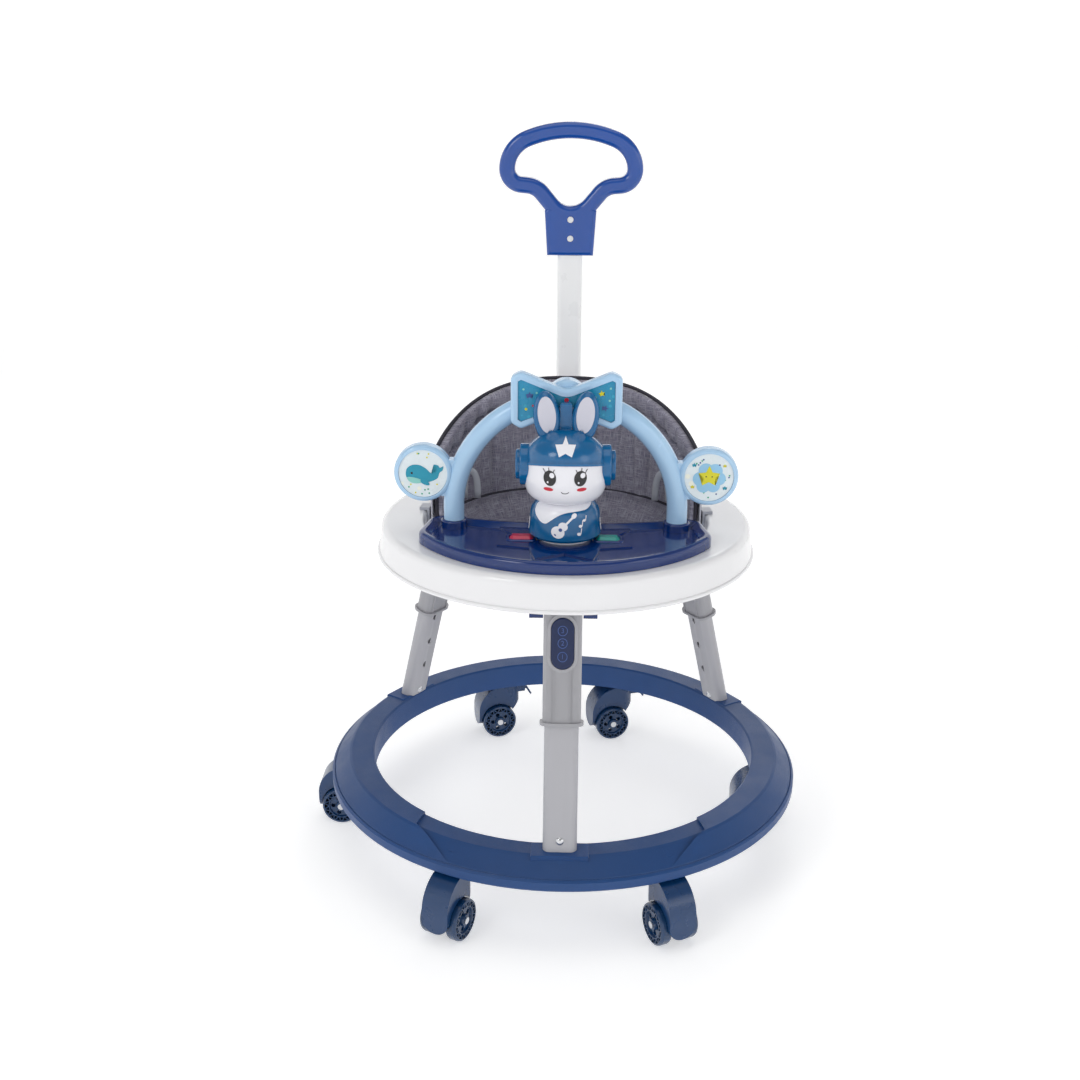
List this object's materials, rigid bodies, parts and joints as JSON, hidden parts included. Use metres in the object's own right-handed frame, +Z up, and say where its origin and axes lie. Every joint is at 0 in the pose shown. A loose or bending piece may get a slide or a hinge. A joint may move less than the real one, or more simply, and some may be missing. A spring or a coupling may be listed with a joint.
{
  "type": "baby walker",
  "caption": "Round baby walker: caster base ring, three leaning telescopic legs, round tray with fabric seat, toy tray with arch and rabbit figure, and a rear push handle.",
  "frame": {"origin": "on the floor, under the centre of the base ring", "axes": "+Z up, -Y is the walker's front with the toy tray, +X is to the right when it is seen from the front"},
  "size_m": [0.622, 0.6, 0.887],
  "materials": {
    "ring_navy": "satin",
    "caster_blue": "gloss",
    "wheel_blue": "gloss",
    "steel": "bright",
    "leg_grey": "satin",
    "button_navy": "satin",
    "tray_white": "gloss",
    "seat_fabric": "woven heather grey",
    "seat_shell_grey": "satin",
    "clip_grey": "satin",
    "pole_white": "satin",
    "grip_blue": "gloss",
    "toy_navy": "gloss",
    "arch_blue": "gloss",
    "disc_print": "printed",
    "bow_teal": "printed",
    "button_red": "gloss",
    "button_teal": "gloss",
    "rabbit_blue": "gloss",
    "rabbit_white": "gloss"
  },
  "bodies": {
    "base": {"base_ring": "ring_navy", "leg_tube_front": "leg_grey", "leg_tube_right": "leg_grey", "leg_tube_left": "leg_grey", "leg_bolts": "steel"},
    "tray": {"tray_shell": "tray_white", "handle_socket": "tray_white", "seat_back_pad": "seat_fabric", "seat_back_shell": "seat_shell_grey", "seat_sling": "seat_fabric", "seat_clips": "clip_grey"},
    "sleeve_front": {"leg_sleeve_front": "leg_grey"},
    "sleeve_right": {"leg_sleeve_right": "leg_grey"},
    "sleeve_left": {"leg_sleeve_left": "leg_grey"},
    "height_button": {"height_button": "button_navy"},
    "caster_front_left": {"caster_front_left_housing": "caster_blue", "caster_front_left_pins": "steel"},
    "caster_front_left_wheel_a": {"caster_front_left_wheel_a": "wheel_blue"},
    "caster_front_left_wheel_b": {"caster_front_left_wheel_b": "wheel_blue"},
    "caster_front_right": {"caster_front_right_housing": "caster_blue", "caster_front_right_pins": "steel"},
    "caster_front_right_wheel_a": {"caster_front_right_wheel_a": "wheel_blue"},
    "caster_front_right_wheel_b": {"caster_front_right_wheel_b": "wheel_blue"},
    "caster_left": {"caster_left_housing": "caster_blue", "caster_left_pins": "steel"},
    "caster_left_wheel_a": {"caster_left_wheel_a": "wheel_blue"},
    "caster_left_wheel_b": {"caster_left_wheel_b": "wheel_blue"},
    "caster_right": {"caster_right_housing": "caster_blue", "caster_right_pins": "steel"},
    "caster_right_wheel_a": {"caster_right_wheel_a": "wheel_blue"},
    "caster_right_wheel_b": {"caster_right_wheel_b": "wheel_blue"},
    "caster_rear_left": {"caster_rear_left_housing": "caster_blue", "caster_rear_left_pins": "steel"},
    "caster_rear_left_wheel_a": {"caster_rear_left_wheel_a": "wheel_blue"},
    "caster_rear_left_wheel_b": {"caster_rear_left_wheel_b": "wheel_blue"},
    "caster_rear_left_brake": {"caster_rear_left_brake": "caster_blue"},
    "caster_rear_right": {"caster_rear_right_housing": "caster_blue", "caster_rear_right_pins": "steel"},
    "caster_rear_right_wheel_a": {"caster_rear_right_wheel_a": "wheel_blue"},
    "caster_rear_right_wheel_b": {"caster_rear_right_wheel_b": "wheel_blue"},
    "caster_rear_right_brake": {"caster_rear_right_brake": "caster_blue"},
    "push_handle": {"push_pole": "pole_white", "push_grip": "grip_blue", "grip_screws": "steel"},
    "toy_tray": {"toy_tray": "toy_navy", "toy_tray_bottom": "toy_navy", "toy_tray_clips": "toy_navy", "toy_arch": "arch_blue", "disc_inlays": "disc_print", "bow_panel": "arch_blue", "bow_inlay": "bow_teal", "rabbit_base": "rabbit_white", "rabbit_body": "rabbit_blue", "rabbit_head": "rabbit_white", "rabbit_helmet": "rabbit_blue", "rabbit_ears": "rabbit_blue", "rabbit_headphones": "rabbit_blue"},
    "button_red": {"button_red": "button_red"},
    "button_teal": {"button_teal": "button_teal"}
  },
  "joints": [
    {"name": "tray_height", "type": "slide", "parent": "base", "child": "tray", "axis": [0, 0, 1], "range_m": [0, 0.076]},
    {"name": "sleeve_front_slide", "type": "slide", "parent": "base", "child": "sleeve_front", "axis": [0, 0.2588, 0.9659], "range_m": [0, 0.0787]},
    {"name": "sleeve_right_slide", "type": "slide", "parent": "base", "child": "sleeve_right", "axis": [-0.2146, -0.1447, 0.9659], "range_m": [0, 0.0787]},
    {"name": "sleeve_left_slide", "type": "slide", "parent": "base", "child": "sleeve_left", "axis": [0.2146, -0.1447, 0.9659], "range_m": [0, 0.0787]},
    {"name": "height_button_press", "type": "slide", "parent": "sleeve_front", "child": "height_button", "axis": [0, 0.9659, -0.2588], "range_m": [0, 0.0018], "stiffness_N_per_m": 400},
    {"name": "caster_front_left_swivel", "type": "hinge", "parent": "base", "child": "caster_front_left", "pos_m": [-0.11968, -0.24537, 0.09], "axis": [0, 0, 1], "continuous": true},
    {"name": "caster_front_left_wheel_a_spin", "type": "hinge", "parent": "caster_front_left", "child": "caster_front_left_wheel_a", "pos_m": [-0.14328, -0.255, 0.025], "axis": [0.8988, -0.4384, 0], "continuous": true},
    {"name": "caster_front_left_wheel_b_spin", "type": "hinge", "parent": "caster_front_left", "child": "caster_front_left_wheel_b", "pos_m": [-0.11273, -0.2699, 0.025], "axis": [0.8988, -0.4384, 0], "continuous": true},
    {"name": "caster_front_right_swivel", "type": "hinge", "parent": "base", "child": "caster_front_right", "pos_m": [0.11968, -0.24537, 0.09], "axis": [0, 0, 1], "continuous": true},
    {"name": "caster_front_right_wheel_a_spin", "type": "hinge", "parent": "caster_front_right", "child": "caster_front_right_wheel_a", "pos_m": [0.11273, -0.2699, 0.025], "axis": [0.8988, 0.4384, 0], "continuous": true},
    {"name": "caster_front_right_wheel_b_spin", "type": "hinge", "parent": "caster_front_right", "child": "caster_front_right_wheel_b", "pos_m": [0.14328, -0.255, 0.025], "axis": [0.8988, 0.4384, 0], "continuous": true},
    {"name": "caster_left_swivel", "type": "hinge", "parent": "base", "child": "caster_left", "pos_m": [-0.273, 0, 0.09], "axis": [0, 0, 1], "continuous": true},
    {"name": "caster_left_wheel_a_spin", "type": "hinge", "parent": "caster_left", "child": "caster_left_wheel_a", "pos_m": [-0.292, 0.017, 0.025], "axis": [0, -1, 0], "continuous": true},
    {"name": "caster_left_wheel_b_spin", "type": "hinge", "parent": "caster_left", "child": "caster_left_wheel_b", "pos_m": [-0.292, -0.017, 0.025], "axis": [0, -1, 0], "continuous": true},
    {"name": "caster_right_swivel", "type": "hinge", "parent": "base", "child": "caster_right", "pos_m": [0.273, 0, 0.09], "axis": [0, 0, 1], "continuous": true},
    {"name": "caster_right_wheel_a_spin", "type": "hinge", "parent": "caster_right", "child": "caster_right_wheel_a", "pos_m": [0.254, 0.017, 0.025], "axis": [0, -1, 0], "continuous": true},
    {"name": "caster_right_wheel_b_spin", "type": "hinge", "parent": "caster_right", "child": "caster_right_wheel_b", "pos_m": [0.254, -0.017, 0.025], "axis": [0, -1, 0], "continuous": true},
    {"name": "caster_rear_left_swivel", "type": "hinge", "parent": "base", "child": "caster_rear_left", "pos_m": [-0.08436, 0.25964, 0.09], "axis": [0, 0, 1], "continuous": true},
    {"name": "caster_rear_left_wheel_a_spin", "type": "hinge", "parent": "caster_rear_left", "child": "caster_rear_left_wheel_a", "pos_m": [-0.10769, 0.26993, 0.025], "axis": [0.309, -0.9511, 0], "continuous": true},
    {"name": "caster_rear_left_wheel_b_spin", "type": "hinge", "parent": "caster_rear_left", "child": "caster_rear_left_wheel_b", "pos_m": [-0.09718, 0.2376, 0.025], "axis": [0.309, -0.9511, 0], "continuous": true},
    {"name": "caster_rear_left_brake_press", "type": "hinge", "parent": "caster_rear_left", "child": "caster_rear_left_brake", "pos_m": [-0.06724, 0.2652, 0.071], "axis": [-0.309, 0.9511, 0], "range_deg": [0, 20]},
    {"name": "caster_rear_right_swivel", "type": "hinge", "parent": "base", "child": "caster_rear_right", "pos_m": [0.08436, 0.25964, 0.09], "axis": [0, 0, 1], "continuous": true},
    {"name": "caster_rear_right_wheel_a_spin", "type": "hinge", "parent": "caster_rear_right", "child": "caster_rear_right_wheel_a", "pos_m": [0.06104, 0.26993, 0.025], "axis": [0.309, -0.9511, 0], "continuous": true},
    {"name": "caster_rear_right_wheel_b_spin", "type": "hinge", "parent": "caster_rear_right", "child": "caster_rear_right_wheel_b", "pos_m": [0.07154, 0.2376, 0.025], "axis": [0.309, -0.9511, 0], "continuous": true},
    {"name": "caster_rear_right_brake_press", "type": "hinge", "parent": "caster_rear_right", "child": "caster_rear_right_brake", "pos_m": [0.10148, 0.2652, 0.071], "axis": [-0.309, 0.9511, 0], "range_deg": [0, 20]},
    {"name": "push_handle_lift", "type": "slide", "parent": "tray", "child": "push_handle", "axis": [0, 0, 1], "range_m": [0, 0.06]},
    {"name": "toy_tray_lift", "type": "slide", "parent": "tray", "child": "toy_tray", "axis": [0, 0, 1], "range_m": [0, 0.08]},
    {"name": "button_red_press", "type": "slide", "parent": "toy_tray", "child": "button_red", "axis": [0, 0, -1], "range_m": [0, 0.002], "stiffness_N_per_m": 300},
    {"name": "button_teal_press", "type": "slide", "parent": "toy_tray", "child": "button_teal", "axis": [0, 0, -1], "range_m": [0, 0.002], "stiffness_N_per_m": 300}
  ],
  "couplings": [
    {"joint": "sleeve_front_slide", "follows": "tray_height", "ratio": 1.0353},
    {"joint": "sleeve_right_slide", "follows": "tray_height", "ratio": 1.0353},
    {"joint": "sleeve_left_slide", "follows": "tray_height", "ratio": 1.0353}
  ]
}
